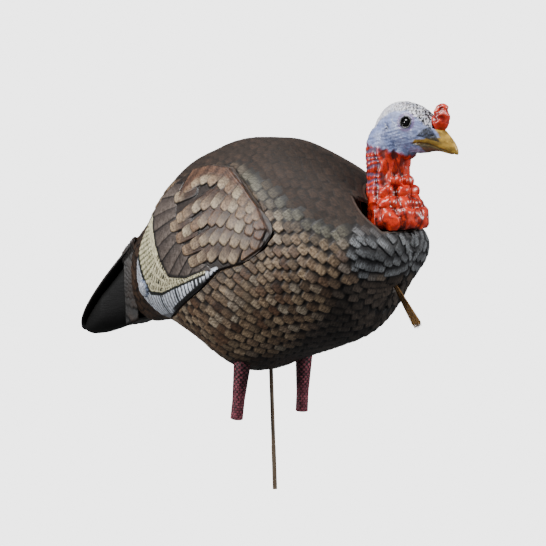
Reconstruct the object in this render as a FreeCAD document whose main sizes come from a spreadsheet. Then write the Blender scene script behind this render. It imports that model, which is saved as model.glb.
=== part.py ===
"""Hollow moulded turkey decoy that swivels on a two-piece ground stake.

Millimetres, +X towards the beak, +Z up, origin on the stake's axis at its foot; heights are from there.
"""
import FreeCAD, Part
import math
import os
import re
import Sketcher

from FreeCAD import Placement, Rotation, Vector

document = FreeCAD.newDocument("turkey_decoy")
sheet = document.addObject("Spreadsheet::Sheet", "Sizes")

SIZES = {
    # body shells
    "body_length": 505.0,
    "body_width": 270.0,
    "body_height": 359.0,
    "belly_height": 189.0,
    "rump_back": 240.0,
    "shell_wall": 3.0,
    "glue_gap": 0.05,
    "boss_margin": 7.0,
    "boss_reach": 20.0,
    # wings, each held by two screws from inside the shell
    "wing_thickness": 5.0,
    "wing_gap": 0.3,
    "wing_screw_diameter": 4.0,
    "wing_screw_bite": 3.0,
    "wing_screw_head": 9.0,
    "wing_screw_head_thickness": 2.5,
    "wing_screw_stand_off": 2.0,
    "wing_screw_height": "=belly_height + 0.63 * body_height",
    "wing_screw_front": "=0.564 * body_length - rump_back",
    "wing_screw_pitch": "=0.218 * body_length",
    # stake, in two screwed pieces, and the bearing it carries
    "stake_diameter": 6.35,
    "stake_foot_diameter": 7.0,
    "stake_lower_length": 68.0,
    "pivot_drop": 40.0,
    "stake_top": "=belly_height + body_height - pivot_drop",
    "stake_upper_length": "=stake_top - stake_lower_length",
    "stake_stud_diameter": 4.0,
    "stake_stud_length": 12.0,
    "stud_foot_gap": 1.0,
    "running_gap": 0.06,
    "thimble_length": 28.0,
    "thimble_wall": 2.5,
    "thimble_crown": 5.0,
    "seat_wall": 3.5,
    "seat_roof": 5.0,
    "bush_wall": 4.0,
    "bush_length": 20.0,
    "bush_flange_diameter": 26.0,
    "bush_flange_thickness": 3.0,
    "tube_clearance": 0.8,
    "tube_wall": 2.0,
    # neck joint, turning about an upright axis
    "neck_set_back": 42.0,
    "neck_ahead": "=body_length - rump_back - neck_set_back",
    "shelf_height": "=belly_height + 0.5989 * body_height",
    "shelf_thickness": 5.0,
    "neck_diameter": 65.0,
    "neck_clearance": 2.0,
    "caruncle_sweep_diameter": 120.0,
    "caruncle_sweep_angle": 122.0,
    "head_seat_gap": 0.3,
    "plug_diameter": 36.0,
    "plug_depth": 38.0,
    "plug_wall": 3.0,
    "plug_collar_height": 16.0,
    "plug_foot_gap": 1.0,
    "key_width": 5.0,
    "key_depth": 1.4,
    "key_gap": 0.1,
    "key_inset": 4.0,
    "ring_wall": 3.0,
    "ring_height": 34.0,
    "ring_drop": 1.0,
    "socket_wall": 3.0,
    "socket_floor": 3.0,
    "socket_flange_diameter": 62.0,
    "socket_flange_thickness": 3.0,
    # head and neck moulding
    "head_wall": 3.5,
    "neck_length": 151.0,
    "head_height": "=shelf_height + neck_length",
    "nape_overhang": 17.0,
    "head_back": "=neck_ahead - nape_overhang",
    "head_length": 136.0,
    "head_depth": 74.0,
    "head_width": 54.0,
    "caruncle_diameter": 36.0,
    "caruncle_ring_radius": 38.5,
    "caruncle_spread": 36.0,
    "eye_diameter": 15.0,
    "eye_ahead": "=head_back + 0.47 * head_length",
    "eye_height": "=head_height + 0.08 * head_depth",
    "eye_centre_out": "=0.37 * head_width",
    "snood_ahead": "=head_back + 0.779 * head_length",
    "snood_height": "=head_height - 0.068 * head_depth",
    "snood_lean": 12.0,
    "snood_length": 38.0,
    "snood_root_diameter": 27.0,
    "snood_tip_diameter": 21.0,
    "snood_tip_round": 7.0,
    # legs
    "leg_spacing": 114.0,
    "right_foot_ahead": -28.0,
    "left_foot_ahead": 16.5,
    "leg_foot_drop": 73.0,
    "leg_foot_height": "=belly_height - leg_foot_drop",
    "right_leg_lean": 9.5,
    "left_leg_lean": 5.0,
    "leg_foot_diameter": 18.0,
    "leg_top_diameter": 25.0,
    "leg_length": 100.0,
    "leg_clearance": 0.6,
    "spigot_diameter": 15.0,
    "spigot_length": 30.0,
    "spigot_gap": 0.1,
    "leg_socket_wall": 3.0,
    # tail
    "tail_length": 132.0,
    "tail_width": 84.0,
    "tail_root_top": "=belly_height + 0.577 * body_height",
    "tail_root_bottom": "=belly_height + 0.209 * body_height",
    "tail_tip_height": "=belly_height + 0.142 * body_height",
    "tail_tip_drop": 8.0,
    "fan_thickness": 7.0,
    "undertail_inset": 6.0,
    "undertail_sag": 16.0,
    "undertail_lip": 7.0,
    "tail_wall": 3.0,
    "tail_seat_gap": 0.3,
    "tongue_width": 44.0,
    "tongue_height": 16.0,
    "tongue_depth": 36.0,
    "tongue_gap": 0.1,
    "tongue_centre_height": "=(tail_root_top + tail_root_bottom) / 2",
    "tail_socket_wall": 3.0,
    "tail_socket_flange": 8.0,
    # beard
    "beard_set_back": 35.5,
    "beard_ahead": "=body_length - rump_back - beard_set_back",
    "beard_height": "=belly_height + 0.3705 * body_height",
    "beard_lean": 148.0,
    "beard_length": 75.0,
    "beard_root_diameter": 5.6,
    "beard_tip_diameter": 15.0,
    "beard_tip_round": 4.0,
    "beard_boss_depth": 14.0,
    "ferrule_wall": 0.9,
    "ferrule_length": 18.0,
    "ferrule_gap": 0.1,
    "grommet_wall": 3.0,
    "grommet_length": 22.0,
}

for row, (alias, value) in enumerate(SIZES.items(), start=1):
    sheet.set(f"A{row}", alias)
    sheet.set(f"B{row}", str(value))
    sheet.setAlias(f"B{row}", alias)
document.recompute()

pieces = []


def size(alias):
    """One driving dimension, read back from the sheet."""
    return float(sheet.get(alias))


def bound(expression):
    """An expression in which each driving dimension's name reads its cell."""
    return re.sub(r"[a-z_]{3,}", lambda word: f"Sizes.{word[0]}" if word[0] in SIZES else word[0], expression)


def finished(made, label):
    """Keep an object as one named sub-part."""
    made.Label = label
    pieces.append(made)
    return made


# ---------------------------------------------------------------- building steps that many pieces share
def placed(made, x="0", y="0", z="0", lean="0", about=Vector(0, 1, 0)):
    """Stand an object at a bound place, turned by a bound angle."""
    made.Placement = Placement(Vector(), Rotation(about, 1))
    made.setExpression("Placement.Base.x", bound(x))
    made.setExpression("Placement.Base.y", bound(y))
    made.setExpression("Placement.Base.z", bound(z))
    made.setExpression("Placement.Rotation.Angle", bound(lean))
    return made


def profile_sketch(body, role, corners):
    """A closed outline on one of the body's origin planes, each corner bound in both directions."""
    sketch = body.newObject("Sketcher::SketchObject", body.Name + "_outline")
    plane = next(item for item in body.Origin.OriginFeatures if item.Role == role)
    sketch.AttachmentSupport = [(plane, "")]
    sketch.MapMode = "FlatFace"
    guesses = [Vector(10 + 3 * math.cos(i), 10 + 3 * math.sin(i), 0) for i in range(len(corners))]
    for i, start in enumerate(guesses):
        sketch.addGeometry(Part.LineSegment(start, guesses[(i + 1) % len(corners)]))
    for i in range(len(corners)):
        sketch.addConstraint(Sketcher.Constraint("Coincident", i, 2, (i + 1) % len(corners), 1))
    for i, corner in enumerate(corners):
        for kind, axis, expression in zip(("DistanceX", "DistanceY"), (-2, -1), corner):
            if expression == "0":
                sketch.addConstraint(Sketcher.Constraint("PointOnObject", i, 1, axis))
                continue
            index = sketch.addConstraint(Sketcher.Constraint(kind, -1, 1, i, 1, 1.0 + i))
            sketch.setExpression(f"Constraints[{index}]", bound(expression))
    return sketch


def turned(name, corners):
    """A piece turned about its own upright axis, from (radius, height) corners."""
    body = document.addObject("PartDesign::Body", name)
    sketch = profile_sketch(body, "XZ_Plane", corners)
    spin = body.newObject("PartDesign::Revolution", name + "_turned")
    spin.Profile = sketch
    spin.ReferenceAxis = (sketch, ["V_Axis"])
    spin.Angle = 360
    sketch.Visibility = False
    return body


def padded(name, role, corners, length, midplane=True):
    """A piece of one outline and an even, bound length."""
    body = document.addObject("PartDesign::Body", name)
    sketch = profile_sketch(body, role, corners)
    pad = body.newObject("PartDesign::Pad", name + "_pad")
    pad.Profile = sketch
    pad.SideType = "Symmetric" if midplane else "One side"
    pad.setExpression("Length", bound(length))
    return body


def block(name, x, y, z, length, width, height):
    """A box centred on (x, y) that stands on z."""
    made = document.addObject("Part::Box", name)
    made.setExpression("Length", bound(length))
    made.setExpression("Width", bound(width))
    made.setExpression("Height", bound(height))
    return placed(made, f"{x} - ({length}) / 2", f"{y} - ({width}) / 2", z)


def rod(name, radius, height, x="0", y="0", z="0", lean="0"):
    made = document.addObject("Part::Cylinder", name)
    made.setExpression("Radius", bound(radius))
    made.setExpression("Height", bound(height))
    return placed(made, x, y, z, lean)


def cut(name, base, tool):
    made = document.addObject("Part::Cut", name)
    made.Base = base
    made.Tool = tool
    return made


def common(name, base, tool):
    made = document.addObject("Part::Common", name)
    made.Base = base
    made.Tool = tool
    return made


def fused(name, shapes):
    made = document.addObject("Part::MultiFuse", name)
    made.Shapes = shapes
    return made


def computed(name, shape):
    """A shape that only a formula gives, held as a document object."""
    made = document.addObject("Part::Feature", name)
    made.Shape = shape
    return made


# ---------------------------------------------------------------- stake: two rods joined by a stud
STAKE = "stake_diameter / 2"
STAKE_FOOT = "stake_foot_diameter / 2"
STUD = "stake_stud_diameter / 2"


def build_stake():
    lower = turned("StakeLower", [
        ("0", "0"), (STAKE_FOOT, "0"), (STAKE_FOOT, "stake_lower_length"),
        (f"{STUD} + glue_gap", "stake_lower_length"),
        (f"{STUD} + glue_gap", "stake_lower_length - stake_stud_length - stud_foot_gap"),
        ("0", "stake_lower_length - stake_stud_length - stud_foot_gap")])
    finished(lower, "stake_lower")
    upper = turned("StakeUpper", [
        ("0", "-stake_stud_length"), (STUD, "-stake_stud_length"), (STUD, "0"), (STAKE, "0"),
        (STAKE, "stake_upper_length"), ("0", "stake_upper_length")])
    finished(placed(upper, z="stake_lower_length"), "stake_upper")


THIMBLE_IN = f"{STAKE} + running_gap"
THIMBLE_OUT = f"{THIMBLE_IN} + thimble_wall"
SEAT_IN = f"{THIMBLE_OUT} + running_gap"
SEAT_OUT = f"{SEAT_IN} + seat_wall"
SEAT_TOP = "thimble_crown + seat_roof + running_gap"
BUSH_IN = f"{STAKE} + running_gap"
BUSH_OUT = f"{BUSH_IN} + bush_wall"
TUBE_IN = f"{STAKE} + tube_clearance"


def build_bearing():
    """A thimble caps the stake and turns with the lift; the seat in the body's back rides on it."""
    thimble = turned("PivotThimble", [
        (THIMBLE_IN, "-thimble_length"), (THIMBLE_OUT, "-thimble_length"), (THIMBLE_OUT, "thimble_crown"),
        ("0", "thimble_crown"), ("0", "running_gap"), (THIMBLE_IN, "running_gap")])
    finished(placed(thimble, z="stake_top"), "pivot_thimble")
    seat = turned("PivotSeat", [
        (SEAT_IN, "-thimble_length"), (SEAT_OUT, "-thimble_length"), (SEAT_OUT, SEAT_TOP),
        ("0", SEAT_TOP), ("0", "thimble_crown + running_gap"), (SEAT_IN, "thimble_crown + running_gap")])
    finished(placed(seat, z="stake_top"), "pivot_seat")
    bush = turned("BellyBush", [
        (BUSH_IN, "0"), (BUSH_OUT, "0"), (BUSH_OUT, "bush_length"),
        ("bush_flange_diameter / 2", "bush_length"),
        ("bush_flange_diameter / 2", "bush_length + bush_flange_thickness"),
        (BUSH_IN, "bush_length + bush_flange_thickness")])
    finished(placed(bush, z="belly_height"), "belly_bush")
    foot = "belly_height + bush_length + bush_flange_thickness + glue_gap"
    length = f"stake_top - thimble_length - glue_gap - ({foot})"
    tube = turned("StakeTube", [
        (TUBE_IN, "0"), (f"{TUBE_IN} + tube_wall", "0"),
        (f"{TUBE_IN} + tube_wall", length), (TUBE_IN, length)])
    finished(placed(tube, z=foot), "stake_tube")


# ---------------------------------------------------------------- body form: sections along the bird
# Each section: how far along the body, its top and bottom as shares of the body's height, its share of
# the body's width, and how full its underside is.
SECTIONS = [
    (0.000, 0.585, 0.222, 0.27, 2.1),
    (0.079, 0.682, 0.206, 0.46, 2.1),
    (0.178, 0.827, 0.192, 0.71, 2.2),
    (0.297, 0.942, 0.111, 0.90, 2.3),
    (0.376, 0.981, 0.036, 0.965, 2.3),
    (0.446, 0.999, 0.000, 0.993, 2.3),
    (0.515, 0.997, 0.019, 1.00, 2.3),
    (0.594, 0.986, 0.058, 1.00, 2.2),
    (0.673, 0.942, 0.092, 0.98, 2.1),
    (0.762, 0.877, 0.131, 0.93, 1.9),
    (0.842, 0.791, 0.184, 0.845, 1.7),
    (0.901, 0.705, 0.309, 0.74, 1.7),
    (0.950, 0.650, 0.390, 0.58, 1.8),
    (0.980, 0.605, 0.454, 0.40, 2.0),
    (0.996, 0.577, 0.507, 0.15, 2.0),
]
SECTION_POINTS = 24


def section_wire(x, low, high, half_width, under, upper=2.1):
    """A smooth closed section across the body at x, begun at its lowest point and rounder above."""
    centre = (low + high) / 2
    half = (high - low) / 2
    points = []
    for i in range(SECTION_POINTS):
        angle = 2 * math.pi * i / SECTION_POINTS - math.pi / 2
        across, rise = math.cos(angle), math.sin(angle)
        power = 2 / (upper if rise > 0 else under)
        y = half_width * math.copysign(abs(across) ** power, across)
        z = centre + half * math.copysign(abs(rise) ** power, rise)
        points.append(Vector(x, y, z))
    curve = Part.BSplineCurve()
    curve.interpolate(points, PeriodicFlag=True)
    return Part.Wire(curve.toShape())


def body_form(grow):
    """The body's solid, grown outward by a distance all over (inward where negative)."""
    wires = []
    stretch = 1 + 2 * grow / size("body_length")
    for along, high, low, wide, under in SECTIONS:
        x = -size("rump_back") - grow + along * size("body_length") * stretch
        top = size("belly_height") + high * size("body_height") + grow
        bottom = size("belly_height") + low * size("body_height") - grow
        half_width = wide * size("body_width") / 2 + grow
        least = abs(grow) / 2 + 1
        half_width = max(half_width, least)
        if top - bottom < 2 * least:
            top, bottom = (top + bottom) / 2 + least, (top + bottom) / 2 - least
        wires.append(section_wire(x, bottom, top, half_width, under))
    return Part.makeLoft(wires, True, False)


def side_surface(x, z, grow):
    """How far out the body's grown side stands at (x, z)."""
    probe = Part.makeLine(Vector(x, 0, z), Vector(x, size("body_width"), z))
    return body_form(grow).common(probe).BoundBox.YMax


# ---------------------------------------------------------------- body shells: two halves meeting at y = 0
LEG_SOCKET_OUT = "spigot_diameter / 2 + spigot_gap + leg_socket_wall"
LEG_BORE = "leg_top_diameter / 2 + leg_clearance"
GROMMET_IN = "beard_root_diameter / 2 + ferrule_wall + ferrule_gap"
GROMMET_OUT = f"{GROMMET_IN} + grommet_wall"
PLUG = "plug_diameter / 2"
RING_IN = f"{PLUG} + running_gap"
RING_OUT = f"{RING_IN} + ring_wall"
SOCKET_IN = f"{RING_OUT} + running_gap"
SOCKET_OUT = f"{SOCKET_IN} + socket_wall"
SIDES = {"right": -1, "left": 1}


def leg_place(made, side, up="0"):
    """Stand an object on a leg's leaning axis, a bound distance up from its foot."""
    lean = f"{side}_leg_lean"
    return placed(made, f"{side}_foot_ahead + ({up}) * sin({lean})", f"{SIDES[side]} * leg_spacing / 2",
                  f"leg_foot_height + ({up}) * cos({lean})", lean)


def beard_place(made, up="0"):
    """Stand an object on the beard's axis, a bound distance back from its root."""
    return placed(made, f"beard_ahead - ({up}) * sin(beard_lean)", "0",
                  f"beard_height - ({up}) * cos(beard_lean)", "beard_lean")


def screw_places():
    """Where each wing's two screws stand, from front to back."""
    for k in (0, 1):
        yield k, size("wing_screw_front") - k * size("wing_screw_pitch"), size("wing_screw_height")


def build_shells():
    skin = computed("BodySkin", body_form(0))
    hollow = computed("BodyHollow", body_form(-size("shell_wall")))
    wall = cut("BodyWall", skin, hollow)
    stout = [
        rod("BellyBoss", f"{BUSH_OUT} + boss_margin", "bush_length + boss_reach",
            z="belly_height - boss_reach"),
        rod("BackBoss", f"{SEAT_OUT} + boss_margin", "body_height", z=f"stake_top + {SEAT_TOP} + glue_gap"),
        rod("NeckShelf", "caruncle_sweep_diameter / 2 + shell_wall", "shelf_thickness",
            "neck_ahead", "0", "shelf_height - shelf_thickness"),
        beard_place(rod("BeardBoss", f"{GROMMET_OUT} + boss_margin", "4 * beard_boss_depth"),
                    "beard_boss_depth"),
    ]
    for side in SIDES:
        boss = rod(f"LegBoss_{side}", f"{LEG_BORE} + boss_margin", "spigot_length + boss_reach")
        stout.append(leg_place(boss, side, "leg_length - boss_reach"))
    bosses = common("Bosses", fused("BossStock", stout), skin)
    holes = [
        rod("BushHole", f"{BUSH_OUT} + glue_gap", "belly_height + bush_length + glue_gap"),
        rod("NeckWell", "neck_diameter / 2 + neck_clearance", "body_height",
            "neck_ahead", "0", "shelf_height"),
        rod("SocketHole", f"{SOCKET_OUT} + glue_gap", "2 * shelf_thickness",
            "neck_ahead", "0", "shelf_height - 1.5 * shelf_thickness"),
        beard_place(rod("GrommetHole", f"{GROMMET_OUT} + glue_gap", "4 * grommet_length"),
                    "2 * grommet_length"),
        block("TailHole", "-rump_back", "0",
              "tongue_centre_height - tongue_height / 2 - tongue_gap - tail_socket_wall - glue_gap",
              "4 * shell_wall", "tongue_width + 2 * (tongue_gap + tail_socket_wall + glue_gap)",
              "tongue_height + 2 * (tongue_gap + tail_socket_wall + glue_gap)"),
    ]
    sweep = rod("CaruncleSweep", "caruncle_sweep_diameter / 2", "body_height")
    sweep.setExpression("Angle", bound("2 * caruncle_sweep_angle"))
    placed(sweep, "neck_ahead", "0", "shelf_height", "-caruncle_sweep_angle", Vector(0, 0, 1))
    holes.append(sweep)
    for side, sign in SIDES.items():
        holes.append(leg_place(rod(f"LegHole_{side}", LEG_BORE, "leg_length + leg_clearance"), side))
        deep = rod(f"LegSocketHole_{side}", f"{LEG_SOCKET_OUT} + glue_gap", "2 * leg_length")
        holes.append(leg_place(deep, side))
        for k in (0, 1):
            hole = rod(f"ScrewHole_{side}_{k}", "wing_screw_diameter / 2 + glue_gap", "body_width")
            holes.append(placed(hole, f"wing_screw_front - {k} * wing_screw_pitch", "0", "wing_screw_height",
                                "90", Vector(-sign, 0, 0)))
    pierced = cut("BodyPierced", fused("BodyStout", [wall, bosses]), fused("BodyHoles", holes))
    for side, sign in SIDES.items():
        half = block(f"Half_{side}", "0", f"{sign} * body_width", "0",
                     "4 * body_length", "2 * body_width", "4 * body_height")
        finished(common(f"Shell_{side}", pierced, half), f"shell_{side}")


# ---------------------------------------------------------------- wings: covers that follow the shell
# The wing's outline seen from the side, from its front corner: shares of the body's length ahead of the rump
# and of its height above the belly.
WING_OUTLINE = [
    (0.6792, 0.5989), (0.6515, 0.5460), (0.5703, 0.4819), (0.4851, 0.4513), (0.4277, 0.3872),
    (0.3327, 0.3120), (0.2495, 0.2563), (0.1426, 0.2312), (0.0931, 0.3092), (0.0653, 0.3928),
    (0.0733, 0.4819), (0.1030, 0.5655), (0.1683, 0.6657), (0.2198, 0.7549), (0.2812, 0.8273),
    (0.3446, 0.8719), (0.4099, 0.8886), (0.4891, 0.8747), (0.5624, 0.7994), (0.6257, 0.7159),
]


def build_wings():
    outer = body_form(size("wing_gap") + size("wing_thickness"))
    inner = body_form(size("wing_gap"))
    curve = Part.BSplineCurve()
    corners = [Vector(along * size("body_length") - size("rump_back"), 0,
                      size("belly_height") + up * size("body_height")) for along, up in WING_OUTLINE]
    curve.interpolate(corners, PeriodicFlag=True)
    outline = Part.Face(Part.Wire(curve.toShape()))
    cover = outer.cut(inner)
    for side, sign in SIDES.items():
        reach = outline.extrude(Vector(0, sign * size("body_width"), 0))
        wing = cover.common(reach)
        for k, x, z in screw_places():
            bite = side_surface(x, z, size("wing_gap")) + size("wing_screw_bite") + size("glue_gap")
            wing = wing.cut(Part.makeCylinder(size("wing_screw_diameter") / 2 + size("glue_gap"), bite,
                                              Vector(x, 0, z), Vector(0, sign, 0)))
        finished(computed(f"Wing_{side}", wing), f"wing_{side}")
        build_screws(side, sign)


def build_screws(side, sign):
    """Two screws hold a wing from inside, their heads just clear of the curved wall."""
    screws = []
    for k, x, z in screw_places():
        tip = side_surface(x, z, size("wing_gap")) + size("wing_screw_bite")
        under_head = side_surface(x + size("wing_screw_head") / 2, z + size("wing_screw_head") / 2,
                                  -size("shell_wall")) - size("wing_screw_stand_off")
        head = Part.makeCylinder(size("wing_screw_head") / 2, size("wing_screw_head_thickness"),
                                 Vector(x, sign * under_head, z), Vector(0, -sign, 0))
        shank = Part.makeCylinder(size("wing_screw_diameter") / 2, tip - under_head,
                                  Vector(x, sign * under_head, z), Vector(0, sign, 0))
        screws.append(head.fuse(shank))
    finished(computed(f"WingScrews_{side}", Part.makeCompound(screws)), f"wing_screws_{side}")


# ---------------------------------------------------------------- neck joint: socket, friction ring, plug
def build_neck_joint():
    socket = turned("NeckSocket", [
        ("0", "-plug_depth - socket_floor - plug_foot_gap"),
        (SOCKET_OUT, "-plug_depth - socket_floor - plug_foot_gap"),
        (SOCKET_OUT, "-shelf_thickness - glue_gap - socket_flange_thickness"),
        ("socket_flange_diameter / 2", "-shelf_thickness - glue_gap - socket_flange_thickness"),
        ("socket_flange_diameter / 2", "-shelf_thickness - glue_gap"),
        (SOCKET_OUT, "-shelf_thickness - glue_gap"),
        (SOCKET_OUT, "0"),
        (SOCKET_IN, "0"), (SOCKET_IN, "-plug_depth - plug_foot_gap"),
        ("0", "-plug_depth - plug_foot_gap")])
    finished(placed(socket, "neck_ahead", "0", "shelf_height"), "neck_socket")
    slot_width = "key_width + 2 * key_gap"
    ring = turned("NeckRingBlank", [
        (RING_IN, "0"), (RING_OUT, "0"), (RING_OUT, "ring_height"), (RING_IN, "ring_height")])
    placed(ring, "neck_ahead", "0", "shelf_height - ring_height - ring_drop")
    slots = block("RingSlots", "neck_ahead", "0", "shelf_height - plug_depth",
                  slot_width, "plug_diameter + 2 * (key_depth + key_gap)", "2 * plug_depth")
    finished(cut("NeckRing", ring, slots), "neck_ring")
    top = "head_seat_gap + plug_collar_height"
    collar = "neck_diameter / 2 - head_wall - glue_gap"
    plug = turned("NeckPlugBlank", [
        (f"{PLUG} - plug_wall", "-plug_depth"), (PLUG, "-plug_depth"), (PLUG, "head_seat_gap"),
        (collar, "head_seat_gap"), (collar, top), (f"{PLUG} - plug_wall", top)])
    placed(plug, "neck_ahead", "0", "shelf_height")
    keys = block("PlugKeys", "neck_ahead", "0", "shelf_height - plug_depth + key_inset",
                 "key_width", "plug_diameter + 2 * key_depth", "plug_depth - 2 * key_inset")
    bore = rod("PlugBore", f"{PLUG} - plug_wall", "2 * plug_depth",
               "neck_ahead", "0", "shelf_height - plug_depth")
    finished(cut("NeckPlug", fused("PlugKeyed", [plug, keys]), bore), "neck_plug")


# ---------------------------------------------------------------- head and neck moulding
# Sections across the head from the nape to the beak's tip: share of the head's length, lift above the
# head's own height, and shares of its depth and width.
HEAD_SECTIONS = [
    (0.00, -0.10, 0.32, 0.40), (0.08, -0.03, 0.62, 0.66), (0.24, 0.01, 0.96, 0.96), (0.43, -0.01, 1.00, 1.00),
    (0.60, -0.08, 0.89, 0.86), (0.73, -0.17, 0.66, 0.62), (0.84, -0.30, 0.46, 0.42),
    (0.94, -0.43, 0.30, 0.26), (1.00, -0.54, 0.11, 0.10),
]
# Circles up the neck: share of the way from the shelf to the head, step forward and share of its width.
NECK_SECTIONS = [(0.0, 0.0, 1.0), (0.3, 0.0, 1.0), (0.6, 0.0, 0.98), (0.78, 0.5, 1.0), (1.0, 9.0, 0.86)]


def head_form():
    wires = []
    for along, lift, deep, wide in HEAD_SECTIONS:
        x = size("head_back") + along * size("head_length")
        middle = size("head_height") + lift * size("head_depth")
        half = deep * size("head_depth") / 2
        half_width = wide * size("head_width") / 2
        wires.append(section_wire(x, middle - half, middle + half, half_width, 2.1))
    return Part.makeLoft(wires, True, False)


def neck_form():
    foot = size("shelf_height") + size("head_seat_gap")
    wires = []
    for share, forward, wide in NECK_SECTIONS:
        centre = Vector(size("neck_ahead") + forward, 0, foot + share * (size("head_height") - foot))
        ring = Part.Circle(centre, Vector(0, 0, 1), wide * size("neck_diameter") / 2)
        wires.append(Part.Wire(ring.toShape()))
    return Part.makeLoft(wires, True, False)


def caruncles():
    """Bulbs round the throat: five low ones and four smaller ones between them, higher up."""
    bulbs = []
    radius = size("caruncle_diameter") / 2
    foot = size("shelf_height") + size("head_seat_gap")
    rows = [((-1.9, -1, 0, 1, 1.9), radius, radius, 1.0),
            ((-1.5, -0.5, 0.5, 1.5), 0.75 * radius, 2.2 * radius, 0.9)]
    for places, bulb, lift, reach in rows:
        for place in places:
            angle = math.radians(place * size("caruncle_spread"))
            out = reach * size("caruncle_ring_radius")
            centre = Vector(size("neck_ahead") + out * math.cos(angle), out * math.sin(angle), foot + lift)
            bulbs.append(Part.makeSphere(bulb, centre))
    return bulbs


def build_head():
    form = head_form().fuse([neck_form()] + caruncles())
    cavity = Part.makeCylinder(size("neck_diameter") / 2 - size("head_wall"),
                               0.62 * (size("head_height") - size("shelf_height")),
                               Vector(size("neck_ahead"), 0, size("shelf_height")))
    hollow = computed("HeadForm", form.cut(cavity))
    openings = []
    for side, sign in SIDES.items():
        eye = document.addObject("Part::Sphere", f"Eye_{side}")
        eye.setExpression("Radius", bound("eye_diameter / 2"))
        finished(placed(eye, "eye_ahead", f"{sign} * eye_centre_out", "eye_height"), f"eye_{side}")
        orbit = document.addObject("Part::Sphere", f"Orbit_{side}")
        orbit.setExpression("Radius", bound("eye_diameter / 2 + glue_gap"))
        openings.append(placed(orbit, "eye_ahead", f"{sign} * eye_centre_out", "eye_height"))
    snood = turned("Snood", [
        ("0", "0"), ("snood_root_diameter / 2", "0"),
        ("snood_tip_diameter / 2", "snood_length - snood_tip_round"),
        ("snood_tip_diameter / 4", "snood_length"), ("0", "snood_length")])
    finished(placed(snood, "snood_ahead", "0", "snood_height", "snood_lean"), "snood")
    pocket = turned("SnoodPocket", [
        ("0", "-glue_gap"), ("snood_root_diameter / 2 + glue_gap", "-glue_gap"),
        ("snood_tip_diameter / 2 + glue_gap", "snood_length"), ("0", "snood_length")])
    openings.append(placed(pocket, "snood_ahead", "0", "snood_height", "snood_lean"))
    finished(cut("HeadNeck", hollow, fused("HeadOpenings", openings)), "head_neck")


# ---------------------------------------------------------------- legs and their sockets
def build_legs():
    spigot = "spigot_diameter / 2"
    bore = f"{spigot} + spigot_gap"
    for side in SIDES:
        leg = turned(f"Leg_{side}", [
            ("0", "0"), ("leg_foot_diameter / 2", "0"), ("leg_foot_diameter / 2", "leg_length * 0.3"),
            ("leg_top_diameter / 2", "leg_length * 0.85"), ("leg_top_diameter / 2", "leg_length"),
            (spigot, "leg_length"), (spigot, "leg_length + spigot_length"),
            ("0", "leg_length + spigot_length")])
        finished(leg_place(leg, side), f"leg_{side}")
        foot = "leg_length + leg_clearance + glue_gap"
        socket = turned(f"LegSocket_{side}", [
            (bore, foot), (LEG_SOCKET_OUT, foot),
            (LEG_SOCKET_OUT, f"{foot} + spigot_length + leg_socket_wall"),
            ("0", f"{foot} + spigot_length + leg_socket_wall"), ("0", f"{foot} + spigot_length"),
            (bore, f"{foot} + spigot_length")])
        finished(leg_place(socket, side), f"leg_socket_{side}")


# ---------------------------------------------------------------- tail: sloping fan over an under-tail
# Outlines seen from above, root to tip: shares of the tail's length and of its half width.
FAN_PLAN = [(0.0, 0.62), (0.55, 1.0), (0.83, 0.86), (0.96, 0.5), (1.0, 0.0)]
UNDERTAIL_PLAN = [(0.0, 0.54), (0.55, 0.85), (0.72, 0.72), (0.84, 0.0)]


def plan_corners(plan, root, half, ahead=None):
    """A closed outline from one side of a plan and its mirror image, run on ahead of the root if asked."""
    side = [(f"{root} - {along} * tail_length", f"{out} * {half}") for along, out in plan]
    if ahead:
        side.insert(0, (f"{root} + {ahead}", side[0][1]))
    return [(x, f"-({y})") for x, y in side[:-1]] + [(side[-1][0], "0")] + side[-2::-1]


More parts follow.
